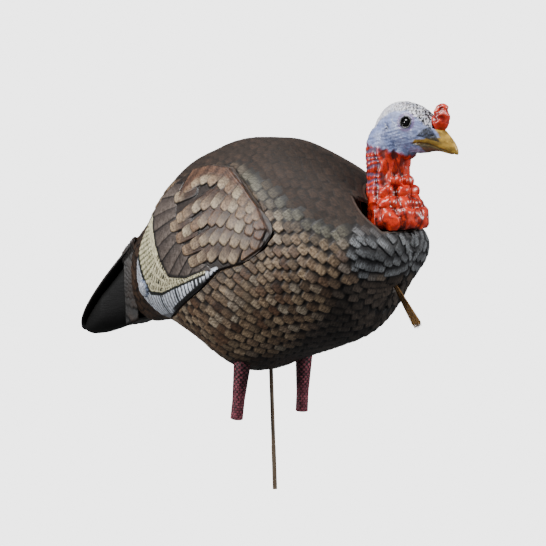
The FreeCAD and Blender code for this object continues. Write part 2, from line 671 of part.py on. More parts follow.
def build_tail():
    root = "-rump_back - tail_seat_gap"
    tip = "-rump_back - tail_length"
    tongue_low = "tongue_centre_height - tongue_height / 2"
    fan = padded("TailFanStock", "XZ_Plane", [
        (root, "tail_root_top"), (root, "tail_root_top - 1.4 * fan_thickness"),
        (tip, "tail_tip_height"), (f"{tip} + 1", "tail_tip_height + tail_tip_drop")], "tail_width")
    plan = padded("TailPlan", "XY_Plane", plan_corners(FAN_PLAN, root, "tail_width / 2"),
                  "4 * body_height")
    finished(common("TailFan", fan, plan), "tail_fan")
    under = padded("UndertailStock", "XZ_Plane", [
        (root, "tail_root_top - 1.4 * fan_thickness - glue_gap"), (root, "tail_root_bottom"),
        (f"{root} - 0.3 * tail_length", "tail_root_bottom - undertail_sag"),
        (f"{root} - 0.72 * tail_length", "tail_tip_height - undertail_lip"),
        (f"{root} - 0.86 * tail_length", "tail_tip_height + undertail_lip")], "tail_width - 2 * undertail_inset")
    tongue = block("TailTongue", f"{root} + tongue_depth / 2", "0", tongue_low,
                   "tongue_depth", "tongue_width", "tongue_height")
    inner_plan = padded("UndertailPlan", "XY_Plane",
                        plan_corners(UNDERTAIL_PLAN, root, "tail_width / 2", "2 * tongue_depth"),
                        "4 * body_height")
    hollow = padded("UndertailHollow", "XZ_Plane", [
        (f"{root} - tail_wall", "tail_root_top - 1.4 * fan_thickness - 4 * tail_wall"),
        (f"{root} - tail_wall", "tail_root_bottom + 2 * tail_wall"),
        (f"{root} - 0.3 * tail_length", "tail_root_bottom - undertail_sag + 2 * tail_wall"),
        (f"{root} - 0.62 * tail_length", "tail_tip_height + tail_wall")],
        f"{UNDERTAIL_PLAN[0][1]} * tail_width - 2 * tail_wall")
    solid = common("UndertailSolid", fused("UndertailTongued", [under, tongue]), inner_plan)
    finished(cut("Undertail", solid, hollow), "undertail")
    opening_wide = "tongue_width + 2 * tongue_gap"
    opening_high = "tongue_height + 2 * tongue_gap"
    low = "tongue_centre_height - tongue_height / 2 - tongue_gap"
    reach = "tongue_depth + tail_socket_wall"
    sleeve = block("TailSleeve", f"-rump_back + ({reach}) / 2", "0", f"{low} - tail_socket_wall",
                   reach, f"{opening_wide} + 2 * tail_socket_wall", f"{opening_high} + 2 * tail_socket_wall")
    flange = block("TailFlange", "-rump_back + shell_wall + glue_gap + tail_socket_wall / 2", "0",
                   f"{low} - tail_socket_flange", "tail_socket_wall",
                   f"{opening_wide} + 2 * tail_socket_flange", f"{opening_high} + 2 * tail_socket_flange")
    opening = block("TailOpening", "-rump_back + tongue_depth / 2 - tail_socket_wall", "0", low,
                    "tongue_depth + 2 * tail_socket_wall", opening_wide, opening_high)
    finished(cut("TailSocket", fused("TailSocketStock", [sleeve, flange]), opening), "tail_socket")


# ---------------------------------------------------------------- beard: bristles crimped in a ferrule
def build_beard():
    root = "beard_root_diameter / 2"
    ferrule_out = f"{root} + ferrule_wall"
    bristles = turned("BeardBristles", [
        ("0", "-ferrule_length"), (root, "-ferrule_length"), (root, "0"),
        ("beard_tip_diameter / 2", "beard_length - beard_tip_round"),
        ("beard_tip_diameter / 3", "beard_length"), ("0", "beard_length")])
    finished(beard_place(bristles), "beard_bristles")
    ferrule = turned("BeardFerrule", [
        (f"{root} + glue_gap", "-ferrule_length"), (ferrule_out, "-ferrule_length"), (ferrule_out, "0"),
        (f"{root} + glue_gap", "0")])
    finished(beard_place(ferrule), "beard_ferrule")
    grommet = turned("BeardGrommet", [
        (GROMMET_IN, "-grommet_length"), (GROMMET_OUT, "-grommet_length"),
        (GROMMET_OUT, "0"), (GROMMET_IN, "0")])
    finished(beard_place(grommet), "beard_grommet")


build_stake()
build_bearing()
build_shells()
build_wings()
build_neck_joint()
build_head()
build_legs()
build_tail()
build_beard()
document.recompute()

faults = [item.Name for item in document.Objects if {"Invalid", "Error"} & set(item.State)]
faults += [item.Label for item in pieces if item.Shape.isNull() or not item.Shape.isValid()]
if faults:
    raise RuntimeError("failed: " + ", ".join(faults))
os.makedirs("parts", exist_ok=True)
for item in pieces:
    item.Shape.exportStep(f"parts/{item.Label}.step")
    box = item.Shape.BoundBox
    print(f"{item.Label:20s} solids {len(item.Shape.Solids)}  volume {item.Shape.Volume / 1000:9.1f} cm3  "
          f"x {box.XMin:7.1f} {box.XMax:7.1f}  y {box.YMin:7.1f} {box.YMax:7.1f}  "
          f"z {box.ZMin:7.1f} {box.ZMax:7.1f}")
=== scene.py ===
import math

import bmesh
import bpy
import numpy as np
from mathutils import Matrix, Vector
from mathutils.bvhtree import BVHTree
from mathutils.kdtree import KDTree


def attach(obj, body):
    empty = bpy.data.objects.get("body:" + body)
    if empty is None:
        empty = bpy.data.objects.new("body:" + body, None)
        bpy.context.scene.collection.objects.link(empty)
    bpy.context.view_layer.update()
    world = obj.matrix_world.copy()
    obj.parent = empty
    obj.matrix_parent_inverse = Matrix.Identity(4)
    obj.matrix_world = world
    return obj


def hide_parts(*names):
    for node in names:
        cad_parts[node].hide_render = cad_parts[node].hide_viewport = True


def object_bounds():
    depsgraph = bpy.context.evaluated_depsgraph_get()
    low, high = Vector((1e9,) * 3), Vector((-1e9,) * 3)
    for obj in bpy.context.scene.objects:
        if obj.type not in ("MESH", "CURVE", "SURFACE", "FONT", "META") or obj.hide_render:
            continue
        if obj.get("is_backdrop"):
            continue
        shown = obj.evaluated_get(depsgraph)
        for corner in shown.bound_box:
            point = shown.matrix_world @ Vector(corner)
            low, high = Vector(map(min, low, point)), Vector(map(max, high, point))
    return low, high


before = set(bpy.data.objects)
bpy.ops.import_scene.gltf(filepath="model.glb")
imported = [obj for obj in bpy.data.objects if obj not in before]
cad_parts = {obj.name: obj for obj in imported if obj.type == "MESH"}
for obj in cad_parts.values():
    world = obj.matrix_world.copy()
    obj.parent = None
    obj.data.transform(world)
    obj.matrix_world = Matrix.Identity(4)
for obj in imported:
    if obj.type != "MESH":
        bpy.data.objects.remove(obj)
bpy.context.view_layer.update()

# ---------------------------------------------------------------- stake
# Two steel rods screwed end to end, the stouter lower one pushed into the ground.
# Both are dipped in a dull olive brown paint that is scuffed thin in places.
def linear(code):
    """A hex sRGB colour as linear red, green, blue and full alpha."""
    parts = [int(code[i:i + 2], 16) / 255 for i in (1, 3, 5)]
    return [c / 12.92 if c <= 0.04045 else ((c + 0.055) / 1.055) ** 2.4 for c in parts] + [1.0]


def add(tree, kind, inputs, **settings):
    """One node of a material, with its settings and what each input is set or linked to."""
    made = tree.nodes.new("ShaderNode" + kind)
    for name, value in settings.items():
        setattr(made, name, value)
    for key, value in inputs.items():
        if isinstance(value, bpy.types.NodeSocket):
            tree.links.new(value, made.inputs[key])
        else:
            made.inputs[key].default_value = value
    return made


def coating(name, dark, light, grain, rough=0.5, bump=0.3, depth=0.0003, stretch=(1, 1, 1), painted=False, **shader):
    """A surface whose tone wanders between two colours over patches of the grain's size in metres.
    On a painted one these tones shade the mesh's own paint, whose alpha is its roughness."""
    made = bpy.data.materials.new(name)
    made.use_nodes = True
    tree = made.node_tree
    shading = tree.nodes["Principled BSDF"]
    place = add(tree, "TexCoord", {}).outputs["Object"]
    place = add(tree, "Mapping", {"Vector": place, "Scale": [1 / (grain * s) for s in stretch]}).outputs[0]
    patches = add(tree, "TexNoise", {"Vector": place, "Scale": 1.0, "Detail": 5.0, "Roughness": 0.6}).outputs[0]
    spread = add(tree, "MapRange", {0: patches, 1: 0.35, 2: 0.65}).outputs[0]
    tone = add(tree, "Mix", {0: spread, 6: linear(dark), 7: linear(light)}, data_type="RGBA").outputs[2]
    gloss = add(tree, "MapRange", {0: patches, 1: 0.3, 2: 0.7, 3: rough - 0.08, 4: rough + 0.08}).outputs[0]
    if painted:
        paint = add(tree, "Attribute", {}, attribute_name="paint")
        tone = add(tree, "Mix", {0: 1.0, 6: paint.outputs["Color"], 7: tone},
                   data_type="RGBA", blend_type="MULTIPLY").outputs[2]
        gloss = add(tree, "MapRange", {0: patches, 1: 0.3, 2: 0.7, 3: -0.08, 4: 0.08}).outputs[0]
        gloss = add(tree, "Math", {0: paint.outputs["Alpha"], 1: gloss}, operation="ADD").outputs[0]
    fine = add(tree, "TexNoise", {"Vector": place, "Scale": 2.3, "Detail": 4.0}).outputs[0]
    raised = add(tree, "Bump", {"Strength": bump, "Distance": depth, "Height": fine}).outputs[0]
    for socket, value in {"Base Color": tone, "Roughness": gloss, "Normal": raised}.items():
        tree.links.new(value, shading.inputs[socket])
    for socket, value in shader.items():
        shading.inputs[socket.replace("_", " ")].default_value = value
    return made


def dress(names, material):
    """Give CAD nodes their finish."""
    for name in names:
        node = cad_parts[name]
        node.data.materials.clear()
        node.data.materials.append(material)


dress(["stake_lower", "stake_upper"],
      coating("painted_steel_rod", "#5b4c3b", "#6d5c48", 0.012, rough=0.6, bump=0.05))

# ---------------------------------------------------------------- pivot and stake tube
# A nylon thimble caps the stake, and the body's seat and belly bush run on it.
# A thin guide tube joins them inside the hollow body.
dress(["pivot_thimble", "pivot_seat", "belly_bush"],
      coating("natural_nylon", "#cfc9b8", "#e0dccd", 0.006, rough=0.38, Subsurface_Weight=0.1))
dress(["stake_tube"], coating("black_tube_plastic", "#17171a", "#24242a", 0.01, rough=0.42))

# ---------------------------------------------------------------- body shells
# Two blow-moulded halves glued along the middle, with feathers moulded in and painted over:
# dark roots first, then paler colours dry-brushed on to the feathers' ends.
MM = 0.001
HOLE_FADE = 4.0
WING_OUTLINE = np.array([
    (103, 404), (89, 385), (48, 362), (5, 351), (-24, 328), (-72, 301), (-114, 281), (-168, 272), (-193, 300),
    (-207, 330), (-203, 362), (-188, 392), (-155, 428), (-129, 460), (-98, 486), (-66, 502), (-33, 508),
    (7, 503), (44, 476), (76, 446)], float)
LEG_AXES = [((-28, -57, 116), 9.5), ((16.5, 57, 116), 5.0)]
BEARD_ROOT, BEARD_LEAN = np.array([229.5, 0, 322]), math.radians(148)
BEARD_WAY = np.array([math.sin(BEARD_LEAN), 0, math.cos(BEARD_LEAN)])
NECK_AXIS, SHELF = np.array([223.0, 0.0]), 404.0


def ease(value):
    """0 below 0, 1 above 1, and smooth between."""
    value = np.clip(value, 0, 1)
    return value * value * (3 - 2 * value)


def mixed(low, high, share):
    """Rows of colours between two colours or rows of colours."""
    low, high = (np.array(linear(c)[:3]) if isinstance(c, str) else c for c in (low, high))
    share = np.atleast_1d(share)[:, None]
    return low * (1 - share) + high * share


def unit(rows):
    return rows / np.maximum(np.linalg.norm(rows, axis=-1, keepdims=True), 1e-9)


def quads(rows, columns, wrap=False):
    """The faces of a grid of points given row by row."""
    index = np.arange(rows * columns).reshape(rows, columns)
    if wrap:
        index = np.hstack([index, index[:, :1]])
    return np.stack([index[:-1, :-1], index[:-1, 1:], index[1:, 1:], index[1:, :-1]], -1).reshape(-1, 4)


def piece(name, points, faces, body, material, paint=None, rough=0.5, replaces=()):
    """A smooth piece from points in millimetres, riding a body."""
    points = np.asarray(points, float)
    used = np.unique(faces)
    renumber = np.zeros(len(points), int)
    renumber[used] = np.arange(len(used))
    mesh = bpy.data.meshes.new(name)
    mesh.from_pydata(points[used] * MM, [], renumber[faces])
    mesh.validate()
    mesh.shade_smooth()
    mesh.materials.append(material)
    if paint is not None:
        alpha = np.broadcast_to(np.asarray(rough, float), (len(points),))
        layer = mesh.color_attributes.new("paint", "FLOAT_COLOR", "POINT")
        layer.data.foreach_set("color", np.hstack([paint, alpha[:, None]])[used].astype(np.float32).ravel())
    made = bpy.data.objects.new(name, mesh)
    bpy.context.scene.collection.objects.link(made)
    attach(made, body)
    if replaces:
        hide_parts(*replaces)
    return made


def surface_of(*names):
    """The CAD nodes' surface in millimetres, for casting rays on to."""
    points, faces = [], []
    for name in names:
        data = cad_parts[name].data
        start = len(points)
        points += [v.co / MM for v in data.vertices]
        faces += [[start + i for i in p.vertices] for p in data.polygons]
    return BVHTree.FromPolygons(points, faces)


def cast(surface, starts, ways, reach=700.0):
    """Where rays from outside meet a surface on their way in to each start, and how far out that is."""
    found = np.array(starts, float)
    out = np.zeros(len(found))
    for i, (start, way) in enumerate(zip(found.copy(), ways)):
        hit = surface.ray_cast(Vector(start + way * reach), Vector(-way), reach)
        if hit[0] is not None:
            found[i] = hit[0]
            out[i] = reach - hit[3]
    return found, out


def grid_frames(points, rows, columns):
    """At each point of a grid, the unit directions down its columns and along its rows, and outward."""
    grid = points.reshape(rows, columns, 3)
    down = unit(np.gradient(grid, axis=0)).reshape(-1, 3)
    along = unit(np.gradient(grid, axis=1)).reshape(-1, 3)
    return down, along, unit(np.cross(down, along))


def shingle(points, centres, along, across, length, width, rise, tilt=0.7, dome=6, square=3):
    """Overlapping rounded plates of half lengths and half widths on a surface. For each point: its height,
    its plate, how far along that plate it is (-1 to 1) and how near its edge (0 to 1)."""
    tree = KDTree(len(points))
    for i, point in enumerate(points):
        tree.insert(point, i)
    tree.balance()
    height, owner = np.zeros(len(points)), np.full(len(points), -1)
    tip, edge = np.zeros(len(points)), np.ones(len(points))
    for k, centre in enumerate(centres):
        near = np.array([hit[1] for hit in tree.find_range(centre, 1.3 * max(length[k], width[k]))], int)
        if not len(near):
            continue
        offset = points[near] - centre
        a, b = offset @ along[k] / length[k], offset @ across[k] / width[k]
        r = (abs(a) ** square + abs(b) ** square) ** (1 / square)
        plate = rise[k] * (1 - tilt / 2 + tilt / 2 * a) * np.sqrt(np.clip(1 - r ** dome, 0, None))
        better = (r < 1) & (plate > height[near])
        chosen = near[better]
        height[chosen], owner[chosen], tip[chosen], edge[chosen] = plate[better], k, a[better], r[better]
    return height, owner, tip, edge


def inside_distance(x, z, outline):
    """Distance inside a closed outline, negative outside it."""
    best, within = np.full(len(x), 1e9), np.zeros(len(x), bool)
    for (x0, z0), (x1, z1) in zip(outline, np.roll(outline, -1, axis=0)):
        t = np.clip(((x - x0) * (x1 - x0) + (z - z0) * (z1 - z0)) / ((x1 - x0) ** 2 + (z1 - z0) ** 2), 0, 1)
        best = np.minimum(best, np.hypot(x - x0 - t * (x1 - x0), z - z0 - t * (z1 - z0)))
        crosses = (z0 > z) != (z1 > z)
        within ^= crosses & (x < x0 + (z - z0) * (x1 - x0) / (z1 - z0 + 1e-9))
    return np.where(within, best, -best)


def hole_distance(p):
    """How far each point is from the nearest opening in the shells."""
    distances = []
    for foot, lean in LEG_AXES:
        way = np.array([math.sin(math.radians(lean)), 0, math.cos(math.radians(lean))])
        offset = p - np.array(foot)
        away = np.linalg.norm(offset - np.outer(offset @ way, way), axis=1)
        distances.append(np.where(p[:, 2] < 320, away - 13.3, 99))
    distances.append(np.where(p[:, 2] < 250, np.hypot(p[:, 0], p[:, 1]) - 7.5, 99))
    offset = p - BEARD_ROOT
    away = np.linalg.norm(offset - np.outer(offset @ BEARD_WAY, BEARD_WAY), axis=1)
    distances.append(np.where(p[:, 0] > 200, away - 7.1, 99))
    from_neck = p[:, :2] - NECK_AXIS
    turn = abs(np.degrees(np.arctan2(from_neck[:, 1], from_neck[:, 0])))
    reach = np.where(turn < 122, 60.5, 36.0)
    away = np.maximum(np.linalg.norm(from_neck, axis=1) - reach, SHELF - 0.4 - p[:, 2])
    distances.append(np.where(p[:, 2] > SHELF - 20, away, 99))
    return np.min(distances, axis=0)


def plumage(centres, chance):
    """Each body feather's root and end colour and how far it stands out, by where it is on the bird."""
    x, y, z = centres.T
    over = z - np.interp(x, [-240, -200, -130, -60, 10, 62, 128, 180, 233, 270],
                         [405, 440, 478, 500, 506, 490, 444, 417, 404, 398])
    dark = ease((x - np.interp(z, [189, 207, 241, 294, 335, 350], [-30, 25, 95, 172, 190, 330])) / 26 + 0.5)
    belly = ease((232 - z) / 22)
    collar = ease((x - 205) / 14) * ease((z - np.interp(x, [200, 216, 273], [362, 338, 338])) / 8)
    rump = ease((-150 - x) / 40)
    back = ease(over / 16 + 0.4)
    band = np.exp(-((over + 6) / 17) ** 2) * ease((x + 20) / 60)
    root = mixed("#231812", "#100c09", chance[:, 0])
    end = mixed(mixed("#e2c5a0", "#8a654b", chance[:, 1]), "#b9ae9b", ease(chance[:, 2] * 2 - 1.2))
    rise = 3.6 + 1.2 * chance[:, 0]
    for weight, low, high, lift in (
            (rump, "#18110d", "#5e4735", 2.2), (band, "#1a1712", "#83806f", 2.6), (dark, "#0b0908", "#6e6258", 3.4),
            (belly, "#0d0a08", "#5a4636", 2.4), (collar, "#17171a", "#a0a5aa", 2.9),
            (back, "#2a2019", "#4d3a2e", 1.0)):
        root, end = mixed(root, low, weight), mixed(end, high, weight)
        rise = rise * (1 - weight) + lift * weight
    return root, end, rise, back, collar


feather_paint = coating("painted_feather_plastic", "#8a827a", "#ffffff", 0.0016, bump=0.7, depth=0.0006,
                        stretch=(6, 1, 2.2), painted=True, Specular_IOR_Level=0.35)
dress(["shell_right", "shell_left"],
      coating("bare_brown_plastic", "#33271f", "#43352b", 0.008, rough=0.6))
shells = surface_of("shell_right", "shell_left")
STATIONS, FRONT_STATIONS, AROUND = 330, 128, 378
SPINE_BACK, SPINE_FRONT = np.array([-239.4, 0.0, 332.0]), np.array([185.0, 0.0, 366.0])
for side, sign in (("right", -1), ("left", 1)):
    chance = np.random.default_rng(11 + sign)
    spine = SPINE_BACK + np.outer(np.linspace(0, 1, STATIONS), SPINE_FRONT - SPINE_BACK)
    spine = np.vstack([spine, np.repeat(SPINE_FRONT[None], FRONT_STATIONS, axis=0)])
    swing = np.concatenate([np.zeros(STATIONS), np.linspace(0, math.radians(88.5), FRONT_STATIONS + 1)[1:]])
    rows, columns = len(spine), AROUND
    turn = np.linspace(0, math.pi, columns)
    radial = np.stack([0 * turn, sign * np.sin(turn), np.cos(turn)], -1)
    ways = np.cos(swing)[:, None, None] * radial + np.sin(swing)[:, None, None] * np.array([1.0, 0, 0])
    starts = np.repeat(spine[:, None], columns, axis=1) + np.array([0, sign * 0.12, 0])
    points, out = cast(shells, starts.reshape(-1, 3), unit(ways.reshape(-1, 3)))
    forward, down, normal = grid_frames(points, rows, columns)
    normal *= np.sign((normal * ways.reshape(-1, 3)).sum(1))[:, None]

    centres, step = [], 14.3
    grid = points.reshape(rows, columns, 3)
    reach = np.concatenate([[0], np.cumsum(np.linalg.norm(np.diff(grid[:, columns // 2], axis=0), axis=1))])
    for row, place in enumerate(np.arange(4, reach[-1] - 2, step)):
        station = int(np.searchsorted(reach, place))
        arc = np.concatenate([[0], np.cumsum(np.linalg.norm(np.diff(grid[station], axis=0), axis=1))])
        spots = np.arange(8.8 * (row % 2), arc[-1], 17.6) + chance.uniform(-2, 2)
        wave = station + np.round(2.6 * np.sin(spots / 27 + row * 0.5) + chance.uniform(-1, 1, len(spots)))
        wave = np.clip(wave, 0, rows - 1).astype(int)
        centres += list(wave * columns + np.searchsorted(arc, spots).clip(0, columns - 1))
    centres = np.array(centres)
    chances = chance.random((len(centres), 3))
    root, end, rise, back, collar = plumage(points[centres], chances)
    fall = (1.0 + 1.2 * collar + chance.uniform(-0.12, 0.12, len(centres)))[:, None]
    along = unit(down[centres] * fall - forward[centres])
    across = unit(np.cross(normal[centres], along))
    length = 11.8 + 1.8 * chances[:, 0] - 2.6 * collar
    height, owner, tip, edge = shingle(points, points[centres], along, across, length, 9.3 + 1.0 * chances[:, 1], rise,
                                       tilt=0.8, dome=14, square=6)
    offset = (points - points[centres][owner]) * across[owner]
    barbs = np.sin(offset.sum(1) * 2.5 + 40 * chances[owner, 0] + 0.8 * np.sin(offset.sum(1) * 1.1 + 9 * chances[owner, 1]))
    share = ease((tip + 0.45) / 0.9) * (0.35 + 0.65 * chances[owner, 2])
    paint = mixed(root[owner], end[owner], share * (0.64 + 0.36 * barbs))
    smooth = back[owner]
    paint *= (1 - (0.93 - 0.5 * smooth) * ease((edge - 0.8) / 0.14))[:, None]
    paint *= (1 - 0.45 * smooth * ease(barbs))[:, None]
    height = height + 0.2 * barbs
    bare = owner < 0
    paint[bare] = linear("#0d0a08")[:3]

    seam = 1 - ease(abs(points[:, 1]) / 1.2)
    winged = np.where(abs(points[:, 1]) > 30, inside_distance(points[:, 0], points[:, 2], WING_OUTLINE), -99)
    opening = hole_distance(points)
    sunk = np.clip(ease((opening - 0.6) / HOLE_FADE) * (1 - ease((winged + 3) / 3)), 0, 1)
    height = (0.35 + height) * sunk - 0.7 * (1 - sunk) - 0.5 * seam
    # Painted shadow of the wing cover: besides the darker seam, the skin is painted darker towards the wing's outline
    # and under it.
    paint *= (1 - 0.5 * seam)[:, None] * (0.4 + 0.6 * ease((0.5 - winged) / 3.5))[:, None]
    faces = quads(rows, columns)
    faces = faces[((opening > 0.6) & (winged < 9) & (out > 0))[faces].all(axis=1)]
    if sign > 0:
        faces = faces[:, ::-1]
    fore = points[faces[:, 0], 0] > 0
    for end_name, chosen in (("rear", ~fore), ("fore", fore)):
        piece(f"skin_{side}_{end_name}", points + normal * height[:, None], faces[chosen], "body",
              feather_paint, paint, rough=0.48 + 0.06 * (1 - share) + 0.24 * smooth)

# ---------------------------------------------------------------- wings
# Separate moulded covers, each held by two screws driven from inside the shell.
# Rows of coverts, long grey flight feathers, then cream and pale blue ones barred in black.
COVERT_ROWS = [np.array(row, float) for row in (
    [(85, 381), (66, 376), (45, 376), (24, 378), (3, 378), (-15, 375), (-29, 369), (-41, 361)],
    [(89, 387), (69, 393), (45, 400), (24, 404), (3, 403), (-19, 399), (-34, 392), (-48, 381)],
    [(87, 401), (60, 418), (33, 429), (7, 432), (-18, 428), (-38, 418), (-55, 407), (-65, 394)],
    [(90, 410), (66, 432), (36, 452), (2, 458), (-26, 452), (-51, 441), (-68, 427), (-77, 413)],
    [(93, 412), (69, 446), (40, 472), (7, 487), (-26, 492), (-50, 485), (-68, 471), (-78, 453)])]
GREY_ROOT = np.array([(-85, 481), (-88, 461), (-85, 438), (-80, 418), (-71, 398), (-56, 381), (-35, 364), (-9, 353)], float)
GREY_EDGE = np.array([(-145, 480), (-145, 448), (-140, 423), (-128, 394), (-116, 368), (-97, 342), (-58, 342), (-14, 356)], float)
CREAM_EDGE = np.array([(-176, 450), (-215, 408), (-199, 374), (-187, 345), (-166, 311), (-129, 312), (-60, 333), (4, 354)], float)
BLUE_EDGE = np.array([(-196, 400), (-212, 344), (-213, 313), (-203, 282), (-185, 268), (-98, 289), (-32, 318), (8, 340)], float)
WING_CENTRE = np.array([-52.0, 392.0])
RAYS, RINGS, BACK_RINGS = 580, 146, 10


def run_along(curve, shares):
    """Points at shares of a curve's length."""
    lengths = np.concatenate([[0], np.cumsum(np.linalg.norm(np.diff(curve, axis=0), axis=1))])
    return np.stack([np.interp(np.asarray(shares) * lengths[-1], lengths, curve[:, i]) for i in (0, 1)], -1)


def between(x, z, inner, outer):
    """Where points lie in the band between two curves: along it, across it, and whether they are in it."""
    u, v = np.meshgrid(np.linspace(0, 1, 120), np.linspace(0, 1, 24), indexing="ij")
    u, v = u.ravel(), v.ravel()
    near, far = run_along(inner, u), run_along(outer, u)
    samples = near + (far - near) * v[:, None]
    tree = KDTree(len(samples))
    for i, (sx, sz) in enumerate(samples):
        tree.insert((sx, 0, sz), i)
    tree.balance()
    found = [tree.find((px, 0, pz)) for px, pz in zip(x, z)]
    index = np.array([f[1] for f in found])
    return u[index], v[index], np.array([f[2] for f in found]) < 3.2


wing_paint = coating("painted_wing_plastic", "#938b83", "#ffffff", 0.0015, bump=0.6, depth=0.0005,
                     stretch=(2.5, 1, 4), painted=True)
for side, sign in (("right", -1), ("left", 1)):
    chance = np.random.default_rng(31)
    wing = surface_of(f"wing_{side}")
    outward = Vector((0, sign, 0))
    turns = np.linspace(0, 2 * math.pi, RAYS, endpoint=False)
    sweep = np.stack([np.cos(turns), np.sin(turns)], -1)
    low, high = np.full(RAYS, 40.0), np.full(RAYS, 190.0)
    for _ in range(14):
        middle = (low + high) / 2
        spots = WING_CENTRE + sweep * middle[:, None]
        on = np.array([wing.ray_cast(Vector((x, sign * 300, z)), -outward, 290)[0] is not None for x, z in spots])
        low, high = np.where(on, middle, low), np.where(on, high, middle)
    shares = np.linspace(0, 1, RINGS) ** 0.85
    flat = WING_CENTRE + shares[:, None, None] * (low - 0.4)[None, :, None] * sweep[None]
    flat = flat.reshape(-1, 2)
    starts = np.stack([flat[:, 0], 0 * flat[:, 0], flat[:, 1]], -1)
    points, out = cast(wing, starts, np.repeat([[0.0, sign, 0]], len(starts), axis=0))
    _, _, normal = grid_frames(np.hstack([points.reshape(RINGS, RAYS, 3)] * 1).reshape(-1, 3), RINGS, RAYS)
    normal[:RAYS] = normal[RAYS:2 * RAYS].mean(0)
    normal = unit(normal * np.sign(normal[:, 1] * sign)[:, None])
    x, z = flat.T

    plates = []
    for row, path in enumerate(COVERT_ROWS):
        total = np.linalg.norm(np.diff(path, axis=0), axis=1).sum()
        count = int(total / 17.0)
        for k in range(count):
            at = (k + 0.35 + 0.3 * (row % 2) + chance.uniform(-0.12, 0.12)) / count
            way = unit(np.array([-0.42, -0.9]) * (1 - at ** 2) + np.array([-0.97, -0.22]) * at ** 2)
            small = 0.55 + 0.45 * ease(at / 0.3)
            worn = chance.uniform(0.35, 1.0) * ease(at / 0.25)
            plates.append((run_along(path, [at])[0] - way * 7, way, 9.4 * (0.78 + 0.22 * small), 25.0 * small,
                           3.2 + 0.28 * row,
                           mixed("#4f3627", "#35241a", chance.random())[0],
                           mixed(mixed("#6d4a35", "#8a6247", chance.random())[0],
                                 mixed("#bb9f7f", "#d3c3a5", chance.random())[0], worn)[0]))
    centres, along = (np.array([(plate[i][0], 0, plate[i][1]) for plate in plates]) for i in (0, 1))
    width, length, rise, low_tone, end_tone = (np.array([plate[i] for plate in plates]) for i in range(2, 7))
    across = np.stack([-along[:, 2], 0 * along[:, 0], along[:, 0]], -1)
    level = np.stack([x, 0 * x, z], -1)
    height, owner, tip, edge = shingle(level, centres, along, across, length, width, rise, tilt=0.6, dome=10, square=4)
    aside = ((level - centres[owner]) * across[owner]).sum(1)
    barbs = np.sin(aside * 2.9 + owner * 2.3 + 0.9 * np.sin(aside * 1.3 + owner))
    share = ease((tip + 0.2) / 1.1) * (0.8 + 0.2 * barbs)
    paint = mixed(low_tone[owner], end_tone[owner], share)
    paint *= (1 - 0.94 * ease((edge - 0.84) / 0.11))[:, None]
    height = height + 0.16 * barbs
    bare = owner < 0
    height[bare] = 0
    paint[bare] = linear("#2a1e17")[:3]
    front_edge = np.vstack([[(106, 404), (104, 414), (78, 450), (46, 480), (7, 507), (-33, 512), (-68, 506), (-80, 470)],
                            COVERT_ROWS[4][::-1]])
    shoulder = ease((inside_distance(x, z, front_edge) + 1) / 5)
    height = np.maximum(height, 3.9 * shoulder + 0.15 * np.sin(x * 1.1 + z * 1.5))
    tawny = mixed("#4a3327", "#70503c", ease(0.5 + 0.4 * np.sin(x * 0.3 - z * 0.21) + 0.2 * np.sin(x * 1.1 + z * 1.5)))
    paint = paint * (1 - shoulder)[:, None] + tawny * shoulder[:, None]

    u, v, within = between(x, z, GREY_ROOT, GREY_EDGE)
    strip = (u * 9.5) % 1
    free = owner < 0
    grey = free & within & (shoulder < 0.1)
    tones = mixed("#3d3431", "#6d625b", ease(0.15 + 0.8 * strip + 0.12 * np.sin(v * 60 + u * 300)))
    tones *= (1 - 0.85 * np.maximum(ease((0.09 - strip) / 0.05), ease((v - 0.93) / 0.05)))[:, None]
    paint[grey] = tones[grey]
    height[grey] = 1.0 + 0.9 * strip[grey]
    u, v, within = between(x, z, GREY_EDGE, CREAM_EDGE)
    free = free & ~grey
    cream = free & within & (shoulder < 0.1) & (x < -16)
    bars = ((v * 4.0) % 1 < 0.62) & ((u * 44 + 0.5 * (np.floor(v * 4.0) % 2)) % 1 < 0.42) & (u > 0.46)
    shade = ((u * 40 + v * 3.2) % 1 < 0.4) & (u <= 0.46) & (v > 0.25)
    paint[cream] = linear("#f2ebc4")[:3]
    paint[cream & shade] = linear("#8b8c6c")[:3]
    paint[cream & bars] = linear("#1c1b14")[:3]
    paint[cream & (v > 0.955)] = linear("#191c16")[:3]
    height[cream] = 0.9
    height[cream & (bars | shade)] -= 0.35
    u, v, within = between(x, z, CREAM_EDGE, BLUE_EDGE)
    blue = free & ~cream & (within | (z < 300))
    paint[blue] = linear("#e9f1ff")[:3]
    thin = ((u * 42) % 1 < 0.34 + 0.25 * (u - 0.5)) & (v > 0.12)
    paint[blue & thin] = linear("#20242b")[:3]
    height[blue] = 0.4 + 1.6 * np.sin(np.clip(v[blue], 0, 1) * math.pi)
    height[blue & thin] -= 0.5
    lump = np.hypot(x + 184, z - 318)
    on_lump = lump < 14
    height[on_lump] = 1.0 + 6.5 * np.sqrt(1 - (lump[on_lump] / 14) ** 2)
    paint[on_lump] = mixed("#e3ecfb", "#7686a6", ease((lump[on_lump] - 9) / 5))
    paint[on_lump] *= (1 - 0.6 * ((np.sin(np.arctan2(z[on_lump] - 318, x[on_lump] + 184) * 13) > 0.6)))[:, None]
    border = inside_distance(x, z, WING_OUTLINE)
    rim = ease(border / 2.4)
    height = height * rim - 0.8 * (1 - rim)
    paint *= (0.35 + 0.65 * ease(border / 1.8))[:, None]
    under = ease((6.5 - border) / 2) * ease((345 - z) / 14) * ease((x + 120) / 20)
    paint = paint * (1 - under)[:, None] + np.array(linear("#0a0a0a")[:3]) * under[:, None]

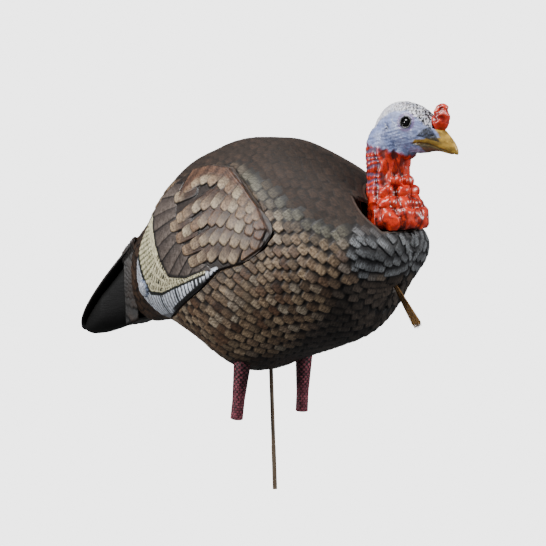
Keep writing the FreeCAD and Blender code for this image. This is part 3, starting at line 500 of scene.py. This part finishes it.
    top = points + normal * height[:, None]
    rim_ring = (RINGS - 1) * RAYS
    hidden = [points[rim_ring:] - normal[rim_ring:] * 4.9]
    for k in range(1, BACK_RINGS):
        ring = int((RINGS - 1) * (1 - k / BACK_RINGS)) * RAYS
        hidden.append(points[ring:ring + RAYS] - normal[ring:ring + RAYS] * 4.9)
    points = np.vstack([top] + hidden)
    faces = quads(RINGS + BACK_RINGS, RAYS, wrap=True)
    if sign < 0:
        faces = faces[:, ::-1]
    extra = len(points) - len(paint)
    piece(f"wing_cover_{side}", points, faces, "body", wing_paint,
          np.vstack([paint, np.tile(linear("#150f0b")[:3], (extra, 1))]), rough=0.48, replaces=[f"wing_{side}"])
dress(["wing_screws_right", "wing_screws_left"],
      coating("zinc_plated_screw_steel", "#8f9296", "#b9bcc0", 0.004, rough=0.32, Metallic=0.9))

# ---------------------------------------------------------------- tail
# A flat fan of dark feathers bonded over a hollow under-tail, whose tongue pushes into a socket in the rump.
# Brown coverts are moulded over its root.
ROOT_X, TAIL_LENGTH, TAIL_HALF = -240.3, 131.7, 42.0
tail_black = coating("painted_tail_plastic", "#a8a29c", "#ffffff", 0.0018, bump=0.5, depth=0.0005,
                     stretch=(7, 1, 5), painted=True)
ACROSS, DOWN = 96, 120
share = np.linspace(0, 1, DOWN)
half = TAIL_HALF * np.where(share < 0.55, 0.62 + 0.38 * np.sin(np.clip(share / 0.55, 0, 1) * math.pi / 2),
                            np.sqrt(np.clip(1 - ((share - 0.55) / 0.4505) ** 2.2, 0, 1)))
turn = np.linspace(0, 2 * math.pi, 2 * ACROSS, endpoint=False)
flat = np.sign(np.cos(turn)) * abs(np.cos(turn)) ** 0.8
thick = np.sign(np.sin(turn)) * abs(np.sin(turn)) ** 0.35
middle = 391.1 - share * 147.0
tail_points = np.stack([
    np.broadcast_to((ROOT_X - share * TAIL_LENGTH)[:, None], (DOWN, 2 * ACROSS)),
    half[:, None] * flat[None], middle[:, None] + 4.6 * thick[None]], -1).reshape(-1, 3)
ribs = abs(((tail_points[:, 1] / (half.repeat(2 * ACROSS) + 1e-6) * 4.5 + 40) % 1) - 0.5) * 2
above = np.tile(np.sin(turn) > 0.05, DOWN)
tail_points[:, 2] += np.where(above, 1.5 * ribs ** 1.5 - 0.4, 0)
tail_paint = mixed("#070606", "#1d1713", ease(ribs) * above * 0.9)
stripe = ease((abs(np.tile(flat, DOWN)) - 0.86) / 0.08)
tail_paint = mixed(tail_paint, "#221a15", stripe * 0.6)
along_tail = share.repeat(2 * ACROSS)
tail_paint = mixed(tail_paint, "#4b3729", ease((0.34 - along_tail) / 0.2) * above)
piece("tail_fan_feathers", tail_points, quads(DOWN, 2 * ACROSS, wrap=True), "tail", tail_black,
      tail_paint, rough=0.52, replaces=["tail_fan"])
dark_tail = coating("dark_tail_plastic", "#030303", "#080707", 0.006, rough=0.7, bump=0.6, depth=0.0008,
                    stretch=(4, 1, 1), Specular_IOR_Level=0.25)
tongue = np.array([v.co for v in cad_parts["undertail"].data.vertices]) / MM
tongue = tongue[tongue[:, 0] > ROOT_X + 4]
tongue_low, tongue_high = tongue.min(0), tongue.max(0)
share = np.linspace(0, 1, 70)
hull_x = ROOT_X - 0.6 - 124.5 * share
hull_top = 391.1 - 147.0 * (ROOT_X - hull_x) / TAIL_LENGTH - 3.0
hull_low = np.interp(hull_x, [-366, -362, -355, -345, -330, -305, -280, -240], [246, 241, 237, 235, 236.5, 243, 250.5, 266.5])
hull_half = 36.4 * np.interp(share, [0, 0.55, 1], [0.66, 1, 0.95]) * np.sqrt(1 - ((share - 0.5) / 0.505).clip(0) ** 2.3)
sections = [(tongue_high[0], 0.05, 0.05, 0.3), (tongue_high[0], 1, 1, 0.3), (ROOT_X - 0.6, 1, 1, 0.3)]
sections = [(at, wide * tongue_high[1], (tongue_low[2] + tongue_high[2]) / 2, tall * (tongue_high[2] - tongue_low[2]) / 2, bend)
            for at, wide, tall, bend in sections]
sections += [(at, wide, (low + high) / 2, (high - low) / 2, 0.72)
             for at, wide, low, high in zip(hull_x, hull_half, np.minimum(hull_low, hull_top - 1), hull_top)]
hull = [np.stack([0 * turn + at, wide * np.sign(np.cos(turn)) * abs(np.cos(turn)) ** bend,
                  middle + tall * np.sign(np.sin(turn)) * abs(np.sin(turn)) ** bend], -1)
        for at, wide, middle, tall, bend in sections]
piece("tail_underside", np.vstack(hull), quads(len(hull), 2 * ACROSS, wrap=True), "tail", dark_tail,
      replaces=["undertail"])
tail_body = surface_of("tail_fan", "undertail")
LEVELS, ROUND = 42, 230
share = np.linspace(0, 1, LEVELS)
turn = np.linspace(0, 2 * math.pi, ROUND, endpoint=False)
starts = np.stack([-241.5 - 24 * share, 0 * share, 332 - 14 * share], -1)[:, None].repeat(ROUND, axis=1).reshape(-1, 3)
ways = np.tile(np.stack([0 * turn, np.sin(turn), np.cos(turn)], -1), (LEVELS, 1))
points, out = cast(tail_body, starts, ways)
chance = np.random.default_rng(21)
spots = np.array([(level * ROUND + (j * 9 + 4.5 * (k % 2) + chance.uniform(-1, 1))) for k, level in enumerate(range(3, 40, 12))
                  for j in range(ROUND // 9)]).astype(int) % (LEVELS * ROUND)
along = np.tile(unit(np.array([-0.84, 0, -0.54])), (len(spots), 1))
across = unit(np.cross(ways[spots], along))
size = np.full(len(spots), 8.0)
height, owner, tip, edge = shingle(points, points[spots], along, across, size * 1.1, size * 0.82, size * 0.26, dome=9, square=4)
paint = mixed(mixed("#150f0b", "#23180f", chance.random(len(spots)))[owner],
              mixed("#3d2b1f", "#241a13", chance.random(len(spots)))[owner], ease((tip + 0.5) / 1.3))
paint *= (1 - 0.85 * ease((edge - 0.8) / 0.16))[:, None] * (1 - 0.9 * share.repeat(ROUND))[:, None]
ending = ease((share.repeat(ROUND) - 0.9) / 0.1) + ease((0.03 - share.repeat(ROUND)) / 0.03)
height = (1.2 + height) * (1 - ending) - 1.0 * ending
piece("tail_coverts", points + ways * height[:, None], quads(LEVELS, ROUND, wrap=True), "tail", tail_black,
      paint, rough=0.52)
dress(["tail_socket"], coating("black_socket_plastic", "#18181b", "#26262b", 0.01, rough=0.42))

# ---------------------------------------------------------------- legs
# Solid moulded shanks whose spigots push into blind sockets bonded in the belly.
# Small scales in relief, painted dull pink with dark paint wiped into the joints.
leg_paint = coating("painted_leg_plastic", "#8a8286", "#ffffff", 0.0011, bump=0.4, depth=0.0003, painted=True)
for (foot, lean), side, sign in zip(LEG_AXES, ("right", "left"), (-1, 1)):
    chance = np.random.default_rng(5 + sign)
    levels = np.concatenate([[0, 0.01, 0.7], np.linspace(1.5, 99.3, 104), [99.9, 100, 100.01, 129.5, 130, 130]])
    radii = np.concatenate([[0, 8.3, 8.9], np.interp(np.linspace(1.5, 99.3, 104), [0, 30, 85, 100], [9, 9, 12.5, 12.5]),
                            [12.4, 12.2, 7.5, 7.5, 7.2, 0]])
    turn = np.linspace(0, 2 * math.pi, 84, endpoint=False)
    ring = np.stack([np.cos(turn), np.sin(turn)], -1)
    points = np.concatenate([radii[:, None, None] * ring[None],
                             np.broadcast_to(levels[:, None, None], (len(levels), 84, 1))], -1).reshape(-1, 3)
    centres = np.array([(k * 3.9 + 2, (j + 0.5 * (k % 2)) * 2 * math.pi / 10 + chance.uniform(-0.06, 0.06))
                        for k in range(24) for j in range(10)])
    around = np.interp(centres[:, 0], [0, 30, 85], [9, 9, 12.5])
    spots = np.stack([around * np.cos(centres[:, 1]), around * np.sin(centres[:, 1]), centres[:, 0]], -1)
    tangent = np.stack([-np.sin(centres[:, 1]), np.cos(centres[:, 1]), 0 * centres[:, 1]], -1)
    up = np.tile([0.0, 0, 1], (len(spots), 1))
    size = np.full(len(spots), 3.0)
    height, owner, tip, edge = shingle(points, spots, up, tangent, size * 0.86, size * 1.12, size * 0.27, tilt=0.2)
    fade = ease((97 - points[:, 2]) / 5) * (points[:, 2] > 0.5)
    out = unit(points * [1, 1, 0])
    shade = ease((edge - 0.5) / 0.3) * fade
    tone = mixed("#c06172", "#8a4152", chance.random(len(spots)))[owner]
    paint = mixed(tone, "#0d0709", shade)
    lean = math.radians(lean)
    points = points + out * (height * fade)[:, None]
    placed = points @ np.array([[math.cos(lean), 0, -math.sin(lean)], [0, 1, 0], [math.sin(lean), 0, math.cos(lean)]])
    piece(f"shank_{side}", placed + np.array(foot), quads(len(levels), 84, wrap=True), f"{side}_leg",
          leg_paint, paint, rough=0.5, replaces=[f"leg_{side}"])
dress(["leg_socket_right", "leg_socket_left"],
      coating("black_leg_socket_plastic", "#18181b", "#26262b", 0.01, rough=0.42))

# ---------------------------------------------------------------- neck joint
# A blind socket under the shelf holds a slotted friction ring; the plug's keys turn the ring with the head.
dress(["neck_socket"], coating("black_neck_socket_plastic", "#18181b", "#26262b", 0.01, rough=0.42))
dress(["neck_ring"], coating("natural_nylon_ring", "#d2ccbb", "#e2decf", 0.006, rough=0.38))
dress(["neck_plug"], coating("grey_plug_plastic", "#3b3c40", "#4a4b50", 0.01, rough=0.42))

# ---------------------------------------------------------------- head and neck
# One hollow vinyl casting with wrinkled skin, throat folds and heavy caruncles round its foot.
# Hand painted: red gloss over the neck, chalky blue face, white crown and horn-coloured beak.
EYE = np.array([270.0, 20.0, 561.0])
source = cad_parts["head_neck"]
draft = bpy.data.objects.new("head_draft", source.data.copy())
bpy.context.scene.collection.objects.link(draft)
remesh = draft.modifiers.new("even", "REMESH")
remesh.mode = "VOXEL"
remesh.voxel_size = 1.25 * MM
bpy.context.view_layer.update()
swells = [((246, 0, 520), (26, 20, 13)), ((226, 0, 438), (36.5, 37, 36))]
swells += [((223 + out * math.cos(t), out * math.sin(t), up), (size, size, 0.9 * size)) for out, up, size, turns in
           ((41, 420, 15.5, (-80, -52, -18, 18, 52, 80)), (36, 440, 14, (-66, -36, 0, 36, 66)), (31, 459, 12.5, (-60, -20, 20, 60)),
            (28.5, 476, 9.5, (-40, 0, 40)))
           for t in np.radians(turns)]
for centre, radii in swells:
    ball = bmesh.new()
    bmesh.ops.create_icosphere(ball, subdivisions=4, radius=1)
    bmesh.ops.scale(ball, vec=Vector(radii) * MM, verts=ball.verts)
    bmesh.ops.translate(ball, vec=Vector(centre) * MM, verts=ball.verts)
    ball.from_mesh(draft.data)
    ball.to_mesh(draft.data)
    ball.free()
even = bpy.data.meshes.new_from_object(draft.evaluated_get(bpy.context.evaluated_depsgraph_get()))
bpy.data.objects.remove(draft)
points = np.array([v.co for v in even.vertices]) / MM
normal = np.array([v.normal for v in even.vertices])
faces = np.array([list(p.vertices) for p in even.polygons])
chance = np.random.default_rng(8)


def rumple(p, size, seed):
    """Smooth seeded unevenness between about -1 and 1 over patches of a size in millimetres."""
    waves = np.random.default_rng(seed)
    total = np.zeros(len(p))
    for _ in range(14):
        way = unit(waves.normal(size=3)) * waves.uniform(0.6, 1.5) * 2 * math.pi / size
        total += np.sin(p @ way + waves.uniform(0, 6.3))
    return total / 4.2


x, y, z = points.T
from_neck = points[:, :2] - NECK_AXIS
bearing = np.degrees(np.arctan2(abs(from_neck[:, 1]), from_neck[:, 0]))
radius = np.linalg.norm(from_neck, axis=1)
inner = (radius < 30.5) & (z < 502)
red = ease((np.interp(x, [200, 225, 250, 275, 290], [535, 527, 520, 513, 500]) + 3 - z + 3 * rumple(points, 9, 3)) / 7)
throat = red * ease((118 - bearing) / 30)
nape = red * ease((bearing - 68) / 30) * ease((z - 448) / 30)

lobes, sizes = [], []
for level, count, size in ((413, 7, 12.0), (430, 7, 10.5), (446, 6, 9.0), (459, 6, 7.5)):
    for k in range(count):
        turn = math.radians(-104 + 208 * (k + 0.5 * (count % 2)) / (count - 0.5)) + chance.uniform(-0.08, 0.08)
        lobes.append((turn, level + chance.uniform(-3, 3)))
        sizes.append(size * chance.uniform(0.85, 1.15))
for _ in range(46):
    lobes.append((math.radians(chance.uniform(-150, 150)), chance.uniform(464, 516)))
    sizes.append(chance.uniform(3.4, 5.4))
lobes, sizes = np.array(lobes), np.array(sizes)
skin = BVHTree.FromPolygons([Vector(p) for p in points], faces.tolist())
starts = np.stack([np.full(len(lobes), NECK_AXIS[0]), np.zeros(len(lobes)), lobes[:, 1]], -1)
ways = np.stack([np.cos(lobes[:, 0]), np.sin(lobes[:, 0]), 0 * lobes[:, 0]], -1)
spots, _ = cast(skin, starts, ways, 120)
tangent = np.stack([-ways[:, 1], ways[:, 0], ways[:, 2]], -1)
up = np.tile([0.0, 0, 1], (len(spots), 1))
long = np.where(sizes < 6, 2.6, 1.35)
height, owner, tip, edge = shingle(points, spots, up, tangent, sizes * long, sizes, np.where(sizes < 6, 2.0, 0.4 * sizes),
                                   tilt=0.15, dome=2.4, square=2.3)
height = np.where(inner, 0, height) * red
folds = np.sin(np.radians(bearing) * 15 + 1.6 * rumple(points, 26, 5)) * throat * ease((z - 440) / 25)
wrinkles = np.sin(z * 0.72 + 2.0 * rumple(points, 30, 6) + 0.05 * bearing)
face = (1 - red) * (x < 296)
to_eye = np.sqrt((x - EYE[0]) ** 2 + (abs(y) - EYE[1]) ** 2 + (z - EYE[2]) ** 2)
orbit = np.exp(-((to_eye - 9.6) / 1.7) ** 2)
ear = np.exp(-(((x - 239) / 3.4) ** 2 + ((z - 555) / 4.6) ** 2)) * (abs(y) > 12)
mouth_z = np.interp(x, [278, 291, 304, 327, 340], [530, 531, 528, 517, 510])
mouth = np.exp(-((z - mouth_z) / 1.25) ** 2) * ease((x - 274) / 6)
nostril = np.exp(-(((x - 309) / 3.4) ** 2 + ((z - 541) / 1.6) ** 2)) * (abs(y) > 4)
move = height + 0.8 * folds + (0.55 * wrinkles * (0.35 * face + 0.9 * nape)) + 0.35 * rumple(points, 5, 9) * face
move += 1.3 * orbit - 2.4 * np.exp(-((to_eye / 8.6) ** 6)) - 1.8 * ear - 1.9 * mouth - 1.5 * nostril
move += throat * ease((478 - z) / 12) * 1.6 * rumple(points, 22, 41)
move = np.where(inner | (z < 405.2), 0, move)
points = points + normal * move[:, None]
limit = np.interp(bearing, [81, 87], [58.6, 35.4]) + 30 * ease((z - 442) / 12)
reached = np.linalg.norm(points[:, :2] - NECK_AXIS, axis=1)
shrink = np.where(inner | (z > 454), 1.0, np.minimum(1.0, limit / np.maximum(reached, 1)))
points[:, :2] = NECK_AXIS + (points[:, :2] - NECK_AXIS) * shrink[:, None]
points[:, 2] = np.maximum(points[:, 2], np.where(inner, points[:, 2], 404.9))

neck_red = mixed("#e63a10", "#c42408", ease(0.5 + 0.6 * rumple(points, 14, 12)))
# Painted shade: dark red towards the caruncle lobes' edges, in the bare skin between them and down in the throat folds'
# troughs.
crevice_shade = ease((edge - 0.72) / 0.28) * (0.55 + 0.45 * (sizes[owner] > 6))
neck_red = mixed(neck_red, "#2a0604", crevice_shade * (owner >= 0) * 0.9)
neck_red = mixed(neck_red, "#3a0804", (owner < 0) * ease(0.45 - 0.8 * folds + 0.4 * rumple(points, 5, 43)) * 0.85)
neck_red = mixed(neck_red, "#625d7c", nape * ease(0.3 - 1.1 * wrinkles + 0.4 * rumple(points, 8, 44)) * 0.85)
blue = mixed("#8796c6", "#9dabd6", ease(0.5 + 0.7 * rumple(points, 17, 21)))
# Painted shade: darker blue down in the wrinkles' troughs on the lower face.
blue = mixed(blue, "#4c5a88", ease(-0.45 - 0.8 * wrinkles + 0.6 * rumple(points, 9, 45)) * 0.6 * ease((560 - z) / 20))
crown = ease((z - np.interp(x, [205, 225, 250, 272, 288, 300, 312], [548, 566, 577, 576, 564, 553, 550])) / 4 + 0.2 * rumple(points, 7, 4))
white = mixed("#e9eaef", "#c9cede", ease(0.4 + 0.5 * rumple(points, 11, 14)))
hair = ease((rumple(points * [1, 1, 0.6], 3.6, 15) + 0.1 - 0.5 * ease((284 - x) / 40)) / 0.2)
white = mixed(white, "#0b0b10", hair * ease((x - 222) / 40))
head_paint = mixed(mixed(blue, white, crown), neck_red, red)
head_paint = mixed(head_paint, "#7a5684", np.exp(-((to_eye - 12.8) / 1.9) ** 2) * 0.75)
head_paint = mixed(head_paint, "#060506", ease((11.4 - to_eye) / 0.8))
head_paint = mixed(head_paint, "#2b2a33", ear * 0.9)
bill = ease((x - np.interp(z, [505, 526, 530, 536, 538, 545, 552, 560], [294, 288, 276, 281, 318, 314, 308, 322])) / 2.5
            + 0.15 * rumple(points, 5, 17))
horn = mixed("#c09a3a", "#94762a", ease(0.4 + 0.6 * rumple(points * [0.4, 1, 1], 9, 18)))
# The lower bill below the mouth line is painted grey-brown: partly its own colour, partly painted shadow under the
# upper bill.
horn = mixed(horn, "#5d5a4e", ease((mouth_z - z) / 3) * ease((330 - x) / 14) * 0.85)
wedge = ease(inside_distance(x, z, np.array([(285, 541), (296, 552), (306, 555), (322, 529), (304, 534.5)])) / 1.6)
head_paint = mixed(mixed(head_paint, horn, bill), "#262824", wedge * (0.85 + 0.15 * rumple(points, 4, 46)))
head_paint = mixed(head_paint, "#12110f", np.clip(mouth + nostril, 0, 1) * 0.92)
# Painted shade: the foot of the neck just above the shelf is painted dark brown-red where it meets the body.
head_paint = mixed(head_paint, "#2c1512", ease((407.5 - z) / 3))
gloss = 0.5 - 0.14 * red - 0.06 * bill
vinyl = coating("painted_vinyl", "#cdc6c6", "#ffffff", 0.0045, bump=0.2, depth=0.0004, painted=True,
                Coat_Weight=0.3, Coat_Roughness=0.2)
piece("head_and_neck", points, faces, "head", vinyl, head_paint, rough=gloss, replaces=["head_neck"])

# ---------------------------------------------------------------- eyes
# Glossy black domes of acrylic seated in the orbits.
dress(["eye_right", "eye_left"],
      coating("black_acrylic", "#020202", "#060505", 0.004, rough=0.12, bump=0.02, Specular_IOR_Level=0.45))

# ---------------------------------------------------------------- snood
# A soft fleshy spike cast apart and bonded in a pocket on the forehead, leaning forward.
rows, columns = 60, 72
along = np.linspace(0, 1, rows)
radius = np.interp(along, [0, 0.12, 0.26, 0.6, 0.8], [9.0, 11.8, 13.0, 11.6, 8.6])
radius[along > 0.8] = 8.6 * np.sqrt(np.clip(1 - ((along[along > 0.8] - 0.8) / 0.2) ** 2, 0, 1))
turn = np.linspace(0, 2 * math.pi, columns, endpoint=False)
snood = np.stack([radius[:, None] * np.cos(turn), radius[:, None] * np.sin(turn),
                  np.broadcast_to(along[:, None] * 38, (rows, columns))], -1).reshape(-1, 3)
lumps = rumple(snood, 11, 33) * ease((snood[:, 2] - 9) / 4)
snood += unit(snood * [1, 1, 0] + [1e-6, 0, 0]) * np.minimum(1.3 * lumps, 1.3)[:, None]
lean = math.radians(12)
# Painted shade and highlight: darker red down in the hollows between the lumps, pale pink painted on the highest lumps.
snood_paint = mixed("#d83010", "#8e1608", ease(0.35 - 0.9 * lumps))
snood_paint = mixed(snood_paint, "#f0b7a8", ease(lumps - 0.55) * 0.7)
placed = snood @ np.array([[math.cos(lean), 0, -math.sin(lean)], [0, 1, 0], [math.sin(lean), 0, math.cos(lean)]])
piece("snood_flesh", placed + np.array([311.9, 0, 550.0]), quads(rows, columns, wrap=True)[:, ::-1], "head",
      vinyl, snood_paint, rough=0.34, replaces=["snood"])

# ---------------------------------------------------------------- beard
# A bundle of stiff bristles crimped in a thin metal ferrule, pushed into a rubber grommet in the breast.
chance = np.random.default_rng(77)
STRANDS, LEVELS, FACETS = 170, 9, 5
across_way = np.array([BEARD_WAY[2], 0, -BEARD_WAY[0]])
beard_points, beard_faces, beard_paint = [], [], []
for k in range(STRANDS):
    turn, out = chance.uniform(0, 2 * math.pi), math.sqrt(chance.random())
    reach = 75 - 9 * chance.random() * out - 5 * chance.random()
    way = math.cos(turn) * across_way + math.sin(turn) * np.array([0, 1.0, 0])
    bend = chance.normal(0, 0.5, 3)
    tone = mixed("#4c2f12", "#b08238", chance.random())[0]
    for share in np.linspace(0, 1, LEVELS):
        middle = BEARD_ROOT + BEARD_WAY * (-17.5 + (reach + 17.5) * share)
        spread = np.interp(-17.5 + (reach + 17.5) * share, [-18, 0, 71, 75], [2.4, 2.5, 7.2, 7.8]) * out
        middle = middle + way * spread + bend * math.sin(share * math.pi) * share
        thin = 0.36 * (1 - 0.55 * share)
        for j in range(FACETS):
            angle = 2 * math.pi * j / FACETS
            beard_points.append(middle + thin * (math.cos(angle) * across_way + math.sin(angle) * np.array([0, 1.0, 0])))
            beard_paint.append(tone * (0.5 + 0.5 * share))
    beard_faces.append(quads(LEVELS, FACETS, wrap=True) + k * LEVELS * FACETS)
bristle = coating("stiff_brown_bristle", "#b5a894", "#ffffff", 0.004, rough=0.5, painted=True)
piece("beard_strands", beard_points, np.vstack(beard_faces), "beard", bristle, np.array(beard_paint),
      rough=0.5, replaces=["beard_bristles"])
dress(["beard_ferrule"], coating("drawn_tin_ferrule", "#8b8a84", "#b1afa8", 0.004, rough=0.35, Metallic=0.9))
dress(["beard_grommet"], coating("black_grommet_rubber", "#141414", "#1f1f1f", 0.004, rough=0.7))

# ---------------------------------------------------------------- studio
# A white card behind and soft lights: a broad one overhead in front, one each side.
card = bpy.data.materials.new("white_card")
card.use_nodes = True
glow = add(card.node_tree, "Emission", {"Color": linear("#ffffff"), "Strength": 3.6})
card.node_tree.links.new(glow.outputs[0], card.node_tree.nodes["Material Output"].inputs[0])
turn, tilt, roll = math.radians(35.0), math.radians(3.6), math.radians(1.9)
toward = Vector((math.sin(turn) * math.cos(tilt), -math.cos(turn) * math.cos(tilt), math.sin(tilt)))
rightward = Vector((math.cos(turn), math.sin(turn), 0))
upward = toward.cross(rightward)
target = Vector((0, 0, 0.338))
corners = [target - toward * 3 + rightward * a * 6 + upward * b * 6 for a, b in ((-1, -1), (1, -1), (1, 1), (-1, 1))]
mesh = bpy.data.meshes.new("backdrop")
mesh.from_pydata(corners, [], [(0, 1, 2, 3)])
mesh.materials.append(card)
backdrop = bpy.data.objects.new("backdrop", mesh)
backdrop.visible_diffuse = backdrop.visible_glossy = backdrop.visible_shadow = False
bpy.context.scene.collection.objects.link(backdrop)
backdrop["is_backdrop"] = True
world = bpy.data.worlds.new("studio")
bpy.context.scene.world = world
world.use_nodes = True
world.node_tree.nodes["Background"].inputs["Color"].default_value = linear("#f4f6fa")
world.node_tree.nodes["Background"].inputs["Strength"].default_value = 0.2
for name, place, power, size in (("overhead", toward * 0.8 + upward * 2.1 - rightward * 0.5, 76, 1.0),
                                 ("left", toward * 1.2 + upward * 0.7 - rightward * 2.0, 52, 0.5),
                                 ("right", toward * 0.9 + upward * 0.8 + rightward * 2.0, 46, 0.4)):
    lamp = bpy.data.objects.new(name, bpy.data.lights.new(name, "AREA"))
    lamp.data.energy, lamp.data.size = power, size
    lamp.location = target + place
    lamp.rotation_mode = "QUATERNION"
    lamp.rotation_quaternion = place.to_track_quat("Z", "Y")
    bpy.context.scene.collection.objects.link(lamp)
    lamp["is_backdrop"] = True

# ---------------------------------------------------------------- camera
# From the bird's right and front, at about the height of its middle, with a long lens.
view = bpy.data.objects.new("camera", bpy.data.cameras.new("camera"))
view.data.lens, view.data.sensor_width, view.data.shift_x = 127.6, 36.0, 0.0095
axes = (rightward * math.cos(roll) - upward * math.sin(roll), rightward * math.sin(roll) + upward * math.cos(roll), toward)
view.matrix_world = Matrix.Translation(target + toward * 3.0) @ Matrix(axes).transposed().to_4x4()
bpy.context.scene.collection.objects.link(view)
bpy.context.scene.camera = view

low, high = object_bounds()
